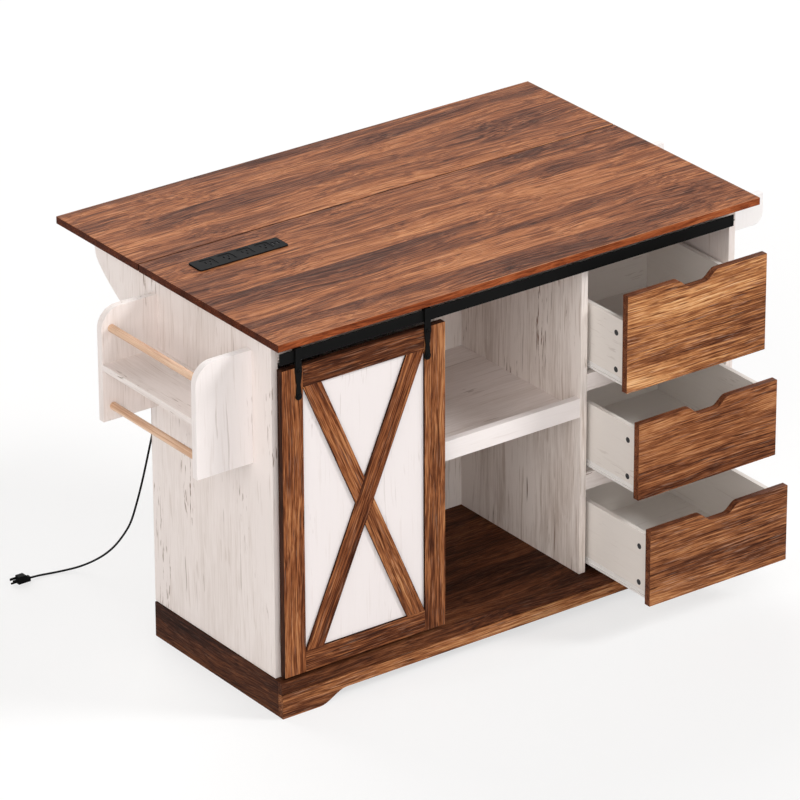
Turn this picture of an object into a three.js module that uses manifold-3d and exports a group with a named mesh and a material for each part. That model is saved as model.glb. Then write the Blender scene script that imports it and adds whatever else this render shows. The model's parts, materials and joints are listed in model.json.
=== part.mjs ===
// Kitchen island unit: a white cabinet on a dark plinth, with a walnut worktop,
// a drop leaf at the back, a sliding door, drawers, and a rack on each end.
// Millimetres, +Z up, the front faces -Y. Every size below can be changed by itself.
import * as THREE from "three";
import { mergeVertices } from "three/addons/utils/BufferGeometryUtils.js";
import Module from "manifold-3d";

// ---------------------------------------------------------------- driving sizes
const board = 18; // thickness of the cabinet's boards
const worktopLength = 1350;
const worktopDepth = 540;
const worktopThick = 18;
const worktopTop = 920; // height of the working surface
const leafDepth = 332;
const leafGap = 3; // seam between worktop and leaf
const leafRest = 0.5; // leaf's underside above its supports

// The worktop reaches past the cabinet on each side by these amounts.
const overhangLeft = 4;
const overhangRight = 44;
const overhangFront = 34;
const overhangRear = 30;
const backThick = 6;
const backInset = 17; // the back panel stands this far in from the rear edges

const plinthProud = 4; // plinth outside the side panels
const plinthBoard = 18;
const plinthHeight = 88; // floor to the top of the floor board
const floorBoardThick = 30;
const floorBoardSetback = 3; // floor board's edge behind the plinth's front face
const archRise = 28;
const footLength = 101;
const archSweep = 76; // length of the curve from foot to arch
const plinthRearInset = 4;

const drawerBay = 409; // clear width between drawer divider and right side panel
const stretcherHeight = 42;
const drawerRailHeight = 42.5;
const shelfHeight = 400; // underside of the shelves above the floor board
const shelfThick = 15;
const lipHeight = 48;
const lipInset = 2;

const lowerFrontHeights = [191, 191]; // drawer fronts from the bottom; the top one fills what is left
const drawerPulls = [141, 188, 235]; // how far each stands open, top drawer first
const drawerBaseGap = 6; // under the bottom front
const drawerFootGap = 2.5; // under the other fronts
const drawerHeadGap = 14.5; // over each lower front
const drawerTopGap = 24.5; // over the top front
const drawerSideGap = 3; // beside each front
const drawerRunnerSpace = 14; // bay wall to drawer side
const drawerSideHeight = 160;
const drawerSideRise = 7.5; // drawer side above the bottom of its front
const drawerSideThick = 12;
const drawerBackSpace = 35; // behind a closed drawer
const drawerBottomThick = 5;
const drawerBottomRise = 8;
const notchTop = 118;
const notchBottom = 44;
const notchDepth = 22;
const runnerHeight = 15;
const runnerSetback = 2; // runner's end behind a closed front
const runnerGap = 0.5;

const doorWidth = 444;
const doorLeft = 12;
const doorFront = 6;
const doorThick = 18;
const doorFloorGap = 8.5;
const doorHeadGap = 14; // under the rail
const stileWidth = 57;
const doorRailWidth = 52;
const braceRun = 50; // width of a brace measured along the rail it meets
const panelRecess = 5;
const doorPanelThick = 9;

const railFront = 7;
const railThick = 3;
const railHeight = 28;
const railHeadGap = 9; // worktop's underside to the top of the rail
const railInsetLeft = 5; // rail's ends in from the outer faces of the side panels
const railInsetRight = 27;
const trackThick = 2.5;
const trackEndInset = 25;

const hangerWidth = 16; // strap where it passes the rail
const hangerThick = 3.5;
const hangerSwell = 18; // at the upper bolt
const hangerWaist = 10;
const hangerEndRadius = 8.5;
const hangerSwellDrop = 55; // top of the strap to the upper bolt
const hangerWaistDrop = 87;
const hangerEndDrop = 117; // top of the strap to the lower bolt
const hangerFlat = 4; // straight stretch above and below the bolt
const hangerInsets = { left: 44, right: 50 }; // strap's middle in from the door's edge
const hookGap = 1.5;
const legGap = 2; // behind the rail
const rollerRadius = 9.5;
const rollerWidth = 6;
const rollerPlay = 0.2; // over the track
const rollerSideGap = 0.5;
const axleRadius = 3;
const axlePlay = 0.08;
const axleHead = 1.5; // axle past the roller

const spiceReach = 150;
const spiceFront = 73; // rack's front panel, back from the cabinet's front
const spiceRear = 17; // rack's rear panel, in from the cabinet's rear
const spiceHeight = 275;
const spiceTop = 50; // top of the rack below the worktop's top
const spiceCorner = 50;
const spiceShelfDrop = 132;
const dowel = 18.5;
const dowelInset = 26;
const guardDrop = 49; // guard rail's middle below the rack's top
const towelDrop = 240;
const towelReach = 143;
const towelHeight = 76;
const towelCorner = 28;
const towelBarInset = 26;
const towelBarDrop = 40;

const supportReach = 215;
const supportRoot = 167; // height of a leaf support where it is hinged
const supportTip = 27;
const supportTipSlope = 7;
const supportBend = { along: 163, down: 85.5 }; // pull of the curve between root and tip
const supportGap = 0.5;

const stripLeft = 89;
const stripLength = 240;
const stripWidth = 52;
const stripLip = 5;
const stripLipThick = 3;
const stripDepth = 42;
const stripRearInset = 65; // from the worktop's rear edge
const seatGap = 0.3;

const hingePlate = 60;
const hingePlateThick = 2;
const hingeReach = 22;
const hingeKnuckle = 5;
const hingeInset = 375; // plate's middle in from the worktop's end

const cordDiameter = 5;
const outletDiameter = 26;
const outletX = 128;
const outletHeight = 736;
const reliefLength = 30;
const reliefTaper = 5; // straight stretch at its wide end
const reliefRadii = [3.6, 6.5];
const plugBody = { length: 20, width: 16, height: 19.5 };
const plugNeck = { length: 13, width: 12, height: 12 };
const bladeLength = 16;
const bladeWidth = 6.4;
const bladeThick = 1.6;
const bladeSpread = 6.3; // from the plug's middle
const earthPin = { radius: 2.4, length: 18 };

// ---------------------------------------------------------------- worked-out places
const underside = worktopTop - worktopThick;
const floorTop = plinthHeight;
const left = overhangLeft;
const right = worktopLength - overhangRight;
const insideLeft = left + board;
const insideRight = right - board;
const front = overhangFront;
const rear = worktopDepth - overhangRear;
const backFace = rear - backInset - backThick; // front face of the back panel
const dividerRight = insideRight - drawerBay;
const dividerLeft = dividerRight - board;
const middleRight = (insideLeft + dividerLeft + board) / 2;
const middleLeft = middleRight - board;
const stretcherFoot = underside - stretcherHeight;
const plinthLeft = left - plinthProud;
const plinthRight = right + plinthProud;
const railTop = underside - railHeadGap;
const railFoot = railTop - railHeight;
const railBack = railFront + railThick;
const railLeft = left + railInsetLeft;
const railRight = right - railInsetRight;
const rackFront = front + spiceFront;
const rackRear = rear - spiceRear;
const spiceHead = worktopTop - spiceTop;

// ---------------------------------------------------------------- finishes
const finish = (color, roughness, metalness = 0) =>
  new THREE.MeshStandardMaterial({ color, roughness, metalness });
const walnutTop = finish(0x8f5636, 0.5);
const walnutDark = finish(0x53301f, 0.55);
const walnutFront = finish(0x7d4a2e, 0.5);
const whiteWood = finish(0xe2dad3, 0.6);
const whitePanel = finish(0xf1ebe8, 0.6);
const drawerWhite = finish(0xd9d2ca, 0.6);
const backBoard = finish(0xa9a5a0, 0.7);
const blackSteel = finish(0x141312, 0.45, 0.5);
const whiteSteel = finish(0xdedcd8, 0.4, 0.2);
const beech = finish(0xdeb896, 0.55);
const blackPlastic = finish(0x1b1c1e, 0.5);
const nylon = finish(0x2a2a2a, 0.5);

// ---------------------------------------------------------------- makers
const wasm = await Module();
wasm.setup();

const unit = new THREE.Group();

// Boards are cut on a sixteenth of a millimetre, so that faces meet exactly.
const cut = (v) => Math.round(v * 16) / 16;

function add(name, geometry, material) {
  const mesh = new THREE.Mesh(geometry, material);
  mesh.name = name;
  unit.add(mesh);
  return mesh;
}

function block(x0, x1, y0, y1, z0, z1) {
  const [a, b, c, d, e, f] = [x0, x1, y0, y1, z0, z1].map(cut);
  const g = new THREE.BoxGeometry(b - a, d - c, f - e);
  g.translate((a + b) / 2, (c + d) / 2, (e + f) / 2);
  return g;
}

// A flat outline pushed out to a thickness: in plan, seen from the front, or from the side.
const planes = {
  plan: new THREE.Matrix4(),
  front: new THREE.Matrix4().makeBasis(
    new THREE.Vector3(1, 0, 0), new THREE.Vector3(0, 0, 1), new THREE.Vector3(0, -1, 0)),
  side: new THREE.Matrix4().makeBasis(
    new THREE.Vector3(0, 1, 0), new THREE.Vector3(0, 0, 1), new THREE.Vector3(1, 0, 0)),
};

function plate(plane, outline, from, to, holes = []) {
  const [a, b] = [cut(from), cut(to)];
  const shape = new THREE.Shape(outline.map(flat));
  shape.holes = holes.map((h) => new THREE.Path(h.map(flat)));
  const g = new THREE.ExtrudeGeometry(shape, { depth: b - a, bevelEnabled: false, curveSegments: 1 });
  g.applyMatrix4(planes[plane]);
  if (plane === "plan") g.translate(0, 0, a);
  if (plane === "front") g.translate(0, b, 0);
  if (plane === "side") g.translate(a, 0, 0);
  return g;
}

const flat = ([u, v]) => new THREE.Vector2(u, v);
const cutAll = (points) => points.map(([u, v]) => [cut(u), cut(v)]);

function arc(cu, cv, r, fromDeg, toDeg, steps) {
  const points = [];
  for (let i = 0; i <= steps; i++) {
    const t = THREE.MathUtils.degToRad(fromDeg + ((toDeg - fromDeg) * i) / steps);
    points.push([cu + r * Math.cos(t), cv + r * Math.sin(t)]);
  }
  return points;
}

// An S-shaped run from one level to another.
function sweep(u0, v0, u1, v1, steps) {
  const points = [];
  for (let i = 0; i <= steps; i++) {
    const t = i / steps;
    points.push([u0 + (u1 - u0) * t, v0 + ((v1 - v0) * (1 - Math.cos(Math.PI * t))) / 2]);
  }
  return points;
}

function rod(radius, length, sides = 20) {
  return new THREE.CylinderGeometry(radius, radius, length, sides);
}

function solid(geometry) {
  const bare = geometry.clone();
  bare.deleteAttribute("normal");
  bare.deleteAttribute("uv");
  const g = mergeVertices(bare, 1e-4);
  return new wasm.Manifold(new wasm.Mesh({
    numProp: 3,
    vertProperties: new Float32Array(g.attributes.position.array),
    triVerts: new Uint32Array(g.index.array),
  }));
}

function surface(made) {
  const mesh = made.getMesh();
  const g = new THREE.BufferGeometry();
  g.setAttribute("position", new THREE.BufferAttribute(mesh.vertProperties, 3));
  g.setIndex(new THREE.BufferAttribute(mesh.triVerts, 1));
  g.computeVertexNormals();
  return g;
}

const joined = (first, ...rest) => surface(rest.reduce((all, g) => all.add(solid(g)), solid(first)));

// ---------------------------------------------------------------- plinth and floor board
function plinthArch() {
  const [a, b] = [plinthLeft, plinthRight];
  return [
    [a, 0],
    ...sweep(a + footLength, 0, a + footLength + archSweep, archRise, 8),
    ...sweep(b - footLength - archSweep, archRise, b - footLength, 0, 8),
    [b, 0],
    [b, floorTop - floorBoardThick],
    [a, floorTop - floorBoardThick],
  ];
}

function floorBoardPlan() {
  const [y0, y1] = [floorBoardSetback, plinthBoard];
  const [a, b] = [plinthLeft, plinthRight];
  const [c, d] = [plinthLeft + plinthBoard, plinthRight - plinthBoard];
  return cutAll([[a, y0], [b, y0], [b, y1], [d, y1], [d, rear], [c, rear], [c, y1], [a, y1]]);
}

const plinthRear = rear - plinthRearInset;
add("plinth_front", plate("front", plinthArch(), 0, plinthBoard), walnutFront);
const plinthSide = (x) => block(x, x + plinthBoard, plinthBoard, plinthRear, 0, floorTop);
add("plinth_left", plinthSide(plinthLeft), walnutDark);
add("plinth_right", plinthSide(plinthRight - plinthBoard), walnutDark);
add("plinth_back", block(plinthLeft + plinthBoard, plinthRight - plinthBoard,
  plinthRear - plinthBoard, plinthRear, 0, floorTop - floorBoardThick), walnutDark);
add("floor_board", plate("plan", floorBoardPlan(), floorTop - floorBoardThick, floorTop), walnutDark);

// ---------------------------------------------------------------- cabinet
const sidePanel = (x) => block(x, x + board, front, rear, floorTop, underside);
add("side_panel_left", sidePanel(left), whiteWood);
add("side_panel_right", sidePanel(insideRight), whiteWood);

function dividerSide() {
  const stop = front + board;
  return cutAll([[front, floorTop], [backFace, floorTop], [backFace, underside],
    [stop, underside], [stop, stretcherFoot], [front, stretcherFoot]]);
}
add("middle_divider", plate("side", dividerSide(), middleLeft, middleRight), whiteWood);
add("drawer_divider", plate("side", dividerSide(), dividerLeft, dividerRight), whiteWood);
const crossRail = (x0, x1, foot, height) => block(x0, x1, front, front + board, foot, foot + height);
add("front_stretcher", crossRail(insideLeft, insideRight, stretcherFoot, stretcherHeight), whiteWood);

const outlet = arc(outletX, outletHeight, outletDiameter / 2, 0, 345, 23);
const backOutline = cutAll([[insideLeft, floorTop], [insideRight, floorTop],
  [insideRight, underside], [insideLeft, underside]]);
add("back_panel", plate("front", backOutline, backFace, backFace + backThick, [outlet]), backBoard);

const shelfFoot = floorTop + shelfHeight;
const lipFront = front + lipInset;
const shelf = (x0, x1, y0, y1, height) => block(x0, x1, y0, y1, shelfFoot, shelfFoot + height);
add("shelf_left", shelf(insideLeft, middleLeft, lipFront, backFace, shelfThick), whiteWood);
add("shelf_right", shelf(middleRight, dividerLeft, lipFront + board, backFace, shelfThick), whiteWood);
add("shelf_right_lip", shelf(middleRight, dividerLeft, lipFront, lipFront + board, lipHeight), whiteWood);

// ---------------------------------------------------------------- worktop, leaf and its supports
const stripFront = worktopDepth - stripRearInset - stripWidth;
const hole = [
  [stripLeft - seatGap, stripFront + stripLip - seatGap],
  [stripLeft + stripLength + seatGap, stripFront + stripLip - seatGap],
  [stripLeft + stripLength + seatGap, stripFront + stripWidth - stripLip + seatGap],
  [stripLeft - seatGap, stripFront + stripWidth - stripLip + seatGap],
];
const topOutline = [[0, 0], [worktopLength, 0], [worktopLength, worktopDepth], [0, worktopDepth]];
add("worktop", plate("plan", topOutline, underside, worktopTop, [hole]), walnutTop);
add("drop_leaf", block(0, worktopLength, worktopDepth + leafGap, worktopDepth + leafGap + leafDepth,
  underside, worktopTop), walnutTop);

// Each hinge: a plate under the worktop and its round knuckle under the seam.
const seam = worktopDepth + leafGap / 2;
[["left", hingeInset], ["right", worktopLength - hingeInset]].forEach(([side, x]) => {
  const knuckle = rod(hingeKnuckle / 2, hingePlate, 12);
  knuckle.rotateZ(Math.PI / 2);
  knuckle.translate(x, seam, underside - hingeKnuckle / 2 - seatGap);
  const leafPlate = block(x - hingePlate / 2, x + hingePlate / 2, seam - hingeReach, seam,
    underside - hingePlateThick, underside);
  add(`leaf_hinge_${side}`, joined(leafPlate, knuckle), blackSteel);
});

function supportSide() {
  const y0 = rear + supportGap;
  const z1 = underside - leafRest;
  const tip = y0 + supportReach;
  const curve = new THREE.QuadraticBezierCurve(
    new THREE.Vector2(y0, z1 - supportRoot),
    new THREE.Vector2(y0 + supportBend.along, z1 - supportBend.down),
    new THREE.Vector2(tip - supportTipSlope, z1 - supportTip));
  return [[y0, z1], ...curve.getPoints(10).map((p) => [p.x, p.y]), [tip, z1]];
}
add("leaf_support_left", plate("side", supportSide(), left, insideLeft), whiteWood);
add("leaf_support_right", plate("side", supportSide(), insideRight, right), whiteWood);

// ---------------------------------------------------------------- door rail and roller track
add("door_rail", block(railLeft, railRight, railFront, railBack, railFoot, railTop), blackSteel);
add("roller_track", block(railLeft + trackEndInset, railRight - trackEndInset, railBack, front,
  railFoot, railFoot + trackThick), blackSteel);

// ---------------------------------------------------------------- sliding door
const door = {
  x0: doorLeft, x1: doorLeft + doorWidth, z0: floorTop + doorFloorGap, y0: doorFront, y1: doorFront + doorThick,
};
door.z1 = railFoot - doorHeadGap;
const opening = {
  x0: door.x0 + stileWidth, x1: door.x1 - stileWidth, z0: door.z0 + doorRailWidth, z1: door.z1 - doorRailWidth,
};
add("door_stile_left", block(door.x0, opening.x0, door.y0, door.y1, door.z0, door.z1), walnutFront);
add("door_stile_right", block(opening.x1, door.x1, door.y0, door.y1, door.z0, door.z1), walnutFront);
add("door_top_rail", block(opening.x0, opening.x1, door.y0, door.y1, opening.z1, door.z1), walnutFront);
add("door_bottom_rail", block(opening.x0, opening.x1, door.y0, door.y1, door.z0, opening.z0), walnutFront);
const panelFront = door.y0 + panelRecess;
const { x0: ox0, x1: ox1, z0: oz0, z1: oz1 } = opening;
add("door_panel", block(ox0, ox1, panelFront, panelFront + doorPanelThick, oz0, oz1), whitePanel);

function crossing(p, q, r, s) {
  const a = (q[1] - p[1]) / (q[0] - p[0]);
  const b = (s[1] - r[1]) / (s[0] - r[0]);
  const x = (r[1] - p[1] + a * p[0] - b * r[0]) / (a - b);
  return [x, p[1] + a * (x - p[0])];
}
const rising = [[ox0, oz0], [ox0 + braceRun, oz0], [ox1, oz1], [ox1 - braceRun, oz1]];
const fallLow = [[ox0, oz1], [ox1 - braceRun, oz0]];
const fallHigh = [[ox0 + braceRun, oz1], [ox1, oz0]];
const upperSide = [[ox0 - seatGap, oz0], [ox1 - braceRun - seatGap, oz1]];
const lowerSide = [[ox0 + braceRun + seatGap, oz0], [ox1 + seatGap, oz1]];
const fallingUpper = [fallLow[0], crossing(...fallLow, ...upperSide),
  crossing(...fallHigh, ...upperSide), fallHigh[0]];
const fallingLower = [crossing(...fallLow, ...lowerSide), fallLow[1], fallHigh[1],
  crossing(...fallHigh, ...lowerSide)];
add("door_brace_rising", plate("front", rising, door.y0, panelFront), walnutFront);
add("door_brace_falling_upper", plate("front", fallingUpper, door.y0, panelFront), walnutFront);
add("door_brace_falling_lower", plate("front", fallingLower, door.y0, panelFront), walnutFront);

// A hanger: a shaped strap on the door, hooked over the rail to carry a roller behind it.
const hookTop = railTop + hookGap + hangerThick;
function strapOutline(x) {
  const [swellAt, waistAt, end] = [hangerSwellDrop, hangerWaistDrop, hangerEndDrop].map((d) => hookTop - d);
  const [half, swell, waist] = [hangerWidth / 2, hangerSwell / 2, hangerWaist / 2];
  const shoulder = hangerEndRadius * Math.cos(Math.PI / 6);
  const shoulderAt = end + hangerEndRadius / 2;
  const rightSide = [
    [half, hookTop],
    ...sweep(half, railFoot, swell, swellAt + hangerFlat, 3),
    ...sweep(swell, swellAt - hangerFlat, waist, waistAt, 5),
    ...sweep(waist, waistAt - hangerFlat, shoulder, shoulderAt, 4).slice(0, -1),
  ];
  const leftSide = rightSide.map(([u, v]) => [-u, v]).reverse();
  return [...rightSide, ...arc(0, end, hangerEndRadius, 30, -210, 12), ...leftSide].map(([u, v]) => [x + u, v]);
}

const legFront = railBack + legGap;
const legBack = legFront + hangerThick;
const axleHeight = railFoot + trackThick + rollerRadius + rollerPlay;
const axleLength = hangerThick + rollerSideGap + rollerWidth + axleHead;
const hangerMiddles = { left: door.x0 + hangerInsets.left, right: door.x1 - hangerInsets.right };
for (const [side, x] of Object.entries(hangerMiddles)) {
  const half = hangerWidth / 2;
  const strap = plate("front", strapOutline(x), door.y0 - hangerThick, door.y0);
  const bridge = block(x - half, x + half, door.y0 - hangerThick, legBack, railTop + hookGap, hookTop);
  const leg = block(x - half, x + half, legFront, legBack, axleHeight - 2 * axleRadius, hookTop);
  const axle = rod(axleRadius, axleLength, 16);
  axle.translate(x, legFront + axleLength / 2, axleHeight);
  add(`door_hanger_${side}`, joined(strap, bridge, leg, axle), blackSteel);

  const wheel = plate("front", arc(x, axleHeight, rollerRadius, 0, 352.5, 47),
    0, rollerWidth, [arc(x, axleHeight, axleRadius + axlePlay, 0, 345, 23)]);
  wheel.translate(0, legBack + rollerSideGap, 0);
  add(`door_roller_${side}`, wheel, nylon);
}

// ---------------------------------------------------------------- drawers
const bay = { x0: dividerRight, x1: insideRight };
const bayMiddle = (bay.x0 + bay.x1) / 2;

function drawerFrontOutline(z0, z1) {
  const [a, b] = [cut(bay.x0 + drawerSideGap), cut(bay.x1 - drawerSideGap)];
  const [c, d] = [notchTop / 2, notchBottom / 2];
  return [
    [a, z0], [b, z0], [b, z1],
    ...sweep(bayMiddle + c, z1, bayMiddle + d, z1 - notchDepth, 6),
    ...sweep(bayMiddle - d, z1 - notchDepth, bayMiddle - c, z1, 6),
    [a, z1],
  ];
}

const boxDepth = backFace - drawerBackSpace - (front + board);

function drawerBox(z0, y0) {
  const [a, b] = [bay.x0 + drawerRunnerSpace, bay.x1 - drawerRunnerSpace];
  const t = drawerSideThick;
  const y1 = y0 + boxDepth;
  const walls = plate("plan", cutAll([[a, y0], [a + t, y0], [a + t, y1 - t], [b - t, y1 - t],
    [b - t, y0], [b, y0], [b, y1], [a, y1]]), z0, z0 + drawerSideHeight);
  const bottom = block(a + t / 2, b - t / 2, y0, y1 - t / 2, z0 + drawerBottomRise,
    z0 + drawerBottomRise + drawerBottomThick);
  return joined(walls, bottom);
}

function drawer(name, z0, z1, pull) {
  const y0 = front - pull;
  const boxFoot = z0 + drawerSideRise;
  const [runnerStart, runnerEnd] = [front + board + runnerSetback, front + board + boxDepth];
  const runner = (a, b) => block(a, b, runnerStart, runnerEnd, boxFoot, boxFoot + runnerHeight);
  add(`${name}_front`, plate("front", drawerFrontOutline(z0, z1), y0, y0 + board), walnutFront);
  add(`${name}_box`, drawerBox(boxFoot, y0 + board), drawerWhite);
  add(`${name}_runner_left`, runner(bay.x0, bay.x0 + drawerRunnerSpace - runnerGap), whiteSteel);
  add(`${name}_runner_right`, runner(bay.x1 - drawerRunnerSpace + runnerGap, bay.x1), whiteSteel);
}

const drawerRailFeet = [];
let level = floorTop + drawerBaseGap;
lowerFrontHeights.forEach((height, i) => {
  const n = drawerPulls.length - i;
  drawer(`drawer${n}`, cut(level), cut(level + height), drawerPulls[n - 1]);
  drawerRailFeet.push(level + height + drawerHeadGap);
  level += height + drawerHeadGap + drawerRailHeight + drawerFootGap;
});
drawer("drawer1", cut(level), cut(stretcherFoot - drawerTopGap), drawerPulls[0]);
["lower", "upper"].forEach((place, i) => {
  const foot = drawerRailFeet[i];
  add(`drawer_rail_${place}`, crossRail(bay.x0, bay.x1, foot, drawerRailHeight), whiteWood);
});

// ---------------------------------------------------------------- racks on the end panels
function spicePanel() {
  const [a, b] = [left - spiceReach, left];
  const [c, d] = [spiceHead - spiceHeight, spiceHead];
  return [[a, c], [b, c], [b, d], ...arc(a + spiceCorner, d - spiceCorner, spiceCorner, 90, 180, 8)];
}
const spiceInner = [rackFront + board, rackRear - board];
add("spice_rack_front_panel", plate("front", spicePanel(), rackFront, spiceInner[0]), whiteWood);
add("spice_rack_rear_panel", plate("front", spicePanel(), spiceInner[1], rackRear), whiteWood);
const rackShelfTop = spiceHead - spiceShelfDrop;
add("spice_rack_shelf", block(left - spiceReach, left, spiceInner[0], spiceInner[1],
  rackShelfTop - shelfThick, rackShelfTop), whiteWood);

function bar(name, x, z) {
  const g = rod(dowel / 2, spiceInner[1] - spiceInner[0], 16);
  g.translate(x, (spiceInner[0] + spiceInner[1]) / 2, z);
  add(name, g, beech);
}
const dowelX = left - spiceReach + dowelInset;
bar("spice_rack_guard_rail", dowelX, spiceHead - guardDrop);
bar("spice_rack_towel_bar", dowelX, spiceHead - towelDrop);

function towelPanel() {
  const [a, b] = [right, right + towelReach];
  const [c, d] = [spiceHead - towelHeight, spiceHead];
  return [[a, c], ...arc(b - towelCorner, c + towelCorner, towelCorner, -90, 0, 6), [b, d], [a, d]];
}
add("towel_rack_front_panel", plate("front", towelPanel(), rackFront, spiceInner[0]), whiteWood);
add("towel_rack_rear_panel", plate("front", towelPanel(), spiceInner[1], rackRear), whiteWood);
bar("towel_rack_bar", right + towelReach - towelBarInset, spiceHead - towelBarDrop);

// ---------------------------------------------------------------- power strip, cord and plug
function stripSide() {
  const [a, b] = [stripFront, stripFront + stripWidth];
  const [c, d] = [worktopTop, worktopTop + stripLipThick];
  const foot = underside - stripDepth;
  return cutAll([[a + stripLip, foot], [b - stripLip, foot], [b - stripLip, c], [b, c], [b, d], [a, d],
    [a, c], [a + stripLip, c]]);
}
add("power_strip", plate("side", stripSide(), stripLeft, stripLeft + stripLength), blackPlastic);

const stripFoot = underside - stripDepth;
const cordY = stripFront + stripWidth / 2;
const reliefFoot = stripFoot - seatGap - reliefLength;
const reliefProfile = [[0, 0], [reliefRadii[0], 0], [reliefRadii[1], reliefLength - reliefTaper],
  [reliefRadii[1], reliefLength], [0, reliefLength]];
const relief = new THREE.LatheGeometry(reliefProfile.map(flat), 16);
relief.rotateX(Math.PI / 2);
relief.translate(outletX, cordY, reliefFoot);
add("cord_relief", relief, blackPlastic);

// The route: down inside, out through the back panel, down behind it and along the floor.
const cordRoute = [
  [128, 449, 829.4],
  [128, 449, 805],
  [128, 449.5, 783],
  [128, 454, 762],
  [128, 465, 745],
  [128, 488, 736],
  [126, 518, 732],
  [122, 545, 717],
  [117, 566, 688],
  [110, 582, 645],
  [104, 594, 600],
  [96, 612, 530],
  [88, 639.5, 420],
  [86.5, 656.5, 363],
  [84.5, 673.5, 306],
  [82, 693, 247],
  [79, 716, 187],
  [77, 734.5, 155],
  [71.5, 775, 101.5],
  [65.5, 809, 67],
  [60, 843, 39.5],
  [49, 873, 18],
  [32, 888.5, 8.5],
  [11.5, 899, 4.3],
  [-12, 906, 2.9],
  [-36, 911.5, 3.1],
  [-48.5, 913, 3.8],
  [-64, 913, 5.2],
  [-79.7, 913, 6],
];
const cordPoints = cordRoute.map((p) => new THREE.Vector3(...p));
const cordCurve = new THREE.CatmullRomCurve3(cordPoints, false, "centripetal");
const cordRound = new THREE.Shape(arc(0, 0, cordDiameter / 2, 0, 324, 9).map(flat));
add("power_cord", new THREE.ExtrudeGeometry(cordRound,
  { steps: 80, extrudePath: cordCurve, bevelEnabled: false }), blackPlastic);

// The plug lies on the floor at the cord's end, its near side in one plane from neck to face.
function plug() {
  const [cordEndX, cordEndY] = cordRoute[cordRoute.length - 1];
  const neckBack = cordEndX - seatGap;
  const face = neckBack - plugNeck.length - plugBody.length;
  const side = cordEndY - plugNeck.width / 2;
  const middle = side + plugBody.width / 2;
  const slope = [[neckBack, 0], [neckBack, plugNeck.height], [neckBack - plugNeck.length / 2, plugNeck.height],
    [neckBack - plugNeck.length, plugBody.height], [neckBack - plugNeck.length, 0]];
  const neck = plate("front", slope, side, side + plugNeck.width);
  const body = block(face, neckBack - plugNeck.length, side, side + plugBody.width, 0, plugBody.height);
  const bladeFoot = (plugBody.height - bladeWidth) / 2 + earthPin.radius;
  const blade = (y) => block(face - bladeLength, face, y - bladeThick / 2, y + bladeThick / 2,
    bladeFoot, bladeFoot + bladeWidth);
  const pin = rod(earthPin.radius, earthPin.length, 10);
  pin.rotateZ(Math.PI / 2);
  pin.translate(face - earthPin.length / 2 + bladeThick, middle, 2 * earthPin.radius);
  return joined(body, neck, blade(middle - bladeSpread), blade(middle + bladeSpread), pin);
}
add("power_plug", plug(), blackPlastic);

// ---------------------------------------------------------------- the part's own frame
// Origin: on the floor, under the middle of the unit as it stands without its cord.
const reach = {
  x0: left - spiceReach, x1: right + towelReach,
  y0: front - Math.max(...drawerPulls), y1: worktopDepth + leafGap + leafDepth,
};
unit.position.set(cut(-(reach.x0 + reach.x1) / 2), cut(-(reach.y0 + reach.y1) / 2), 0);

export default unit;
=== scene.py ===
"""Kitchen island unit: board finishes, fittings, cord, floor, lamps and camera.

Metres in the part's own frame: the front faces -Y and +Z is up. Sizes that the
solids already hold are read from their boxes, so the two stay together.
"""

import json
import random
from math import cos, pi, radians, sin

import bmesh
import bpy
import numpy as np
from mathutils import Matrix, Vector


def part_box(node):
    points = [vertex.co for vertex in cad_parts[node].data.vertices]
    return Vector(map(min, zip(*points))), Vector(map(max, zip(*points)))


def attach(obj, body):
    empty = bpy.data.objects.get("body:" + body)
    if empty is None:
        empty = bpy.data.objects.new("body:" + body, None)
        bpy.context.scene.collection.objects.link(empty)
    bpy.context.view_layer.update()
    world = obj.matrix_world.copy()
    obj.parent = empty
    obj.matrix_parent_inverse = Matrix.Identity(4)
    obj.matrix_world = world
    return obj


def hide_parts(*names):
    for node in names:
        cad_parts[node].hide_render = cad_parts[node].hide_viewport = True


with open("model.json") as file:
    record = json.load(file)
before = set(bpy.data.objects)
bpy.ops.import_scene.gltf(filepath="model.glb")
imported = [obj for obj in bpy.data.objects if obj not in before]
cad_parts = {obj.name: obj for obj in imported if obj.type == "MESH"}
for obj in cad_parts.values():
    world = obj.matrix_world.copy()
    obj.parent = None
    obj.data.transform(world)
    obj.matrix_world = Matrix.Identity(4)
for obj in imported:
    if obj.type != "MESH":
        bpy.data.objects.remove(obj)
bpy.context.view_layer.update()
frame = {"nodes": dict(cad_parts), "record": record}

MM = 0.001
CORNER = Vector((-0.6515, -0.337, 0.0))  # on the floor, below the worktop's front left corner
SIDES = ("left", "right")


def mm(*pairs):
    """Pairs of millimetres, in metres."""
    return [(first * MM, second * MM) for first, second in pairs]


# ---- camera
CAMERA_AT = (-7.38334, -9.98518, 6.36434)
CAMERA_TURN = radians(36.18921)  # from +Y towards +X
CAMERA_DIP = radians(25.36280)
CAMERA_ROLL = radians(-0.23764)
CAMERA_LENS, SENSOR = 269.156, 36.0


def added(name, data):
    """A new object in the scene."""
    item = bpy.data.objects.new(name, data)
    bpy.context.scene.collection.objects.link(item)
    return item


def make_camera():
    data = bpy.data.cameras.new("camera")
    data.lens, data.sensor_width = CAMERA_LENS, SENSOR
    data.clip_start, data.clip_end = 0.5, 80
    place = Matrix.Translation(CAMERA_AT)
    for angle, axis in ((-CAMERA_TURN, "Z"), (pi / 2 - CAMERA_DIP, "X"), (CAMERA_ROLL, "Z")):
        place @= Matrix.Rotation(angle, 4, axis)
    camera = added("camera", data)
    camera.matrix_world = place
    bpy.context.scene.camera = camera


make_camera()

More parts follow.
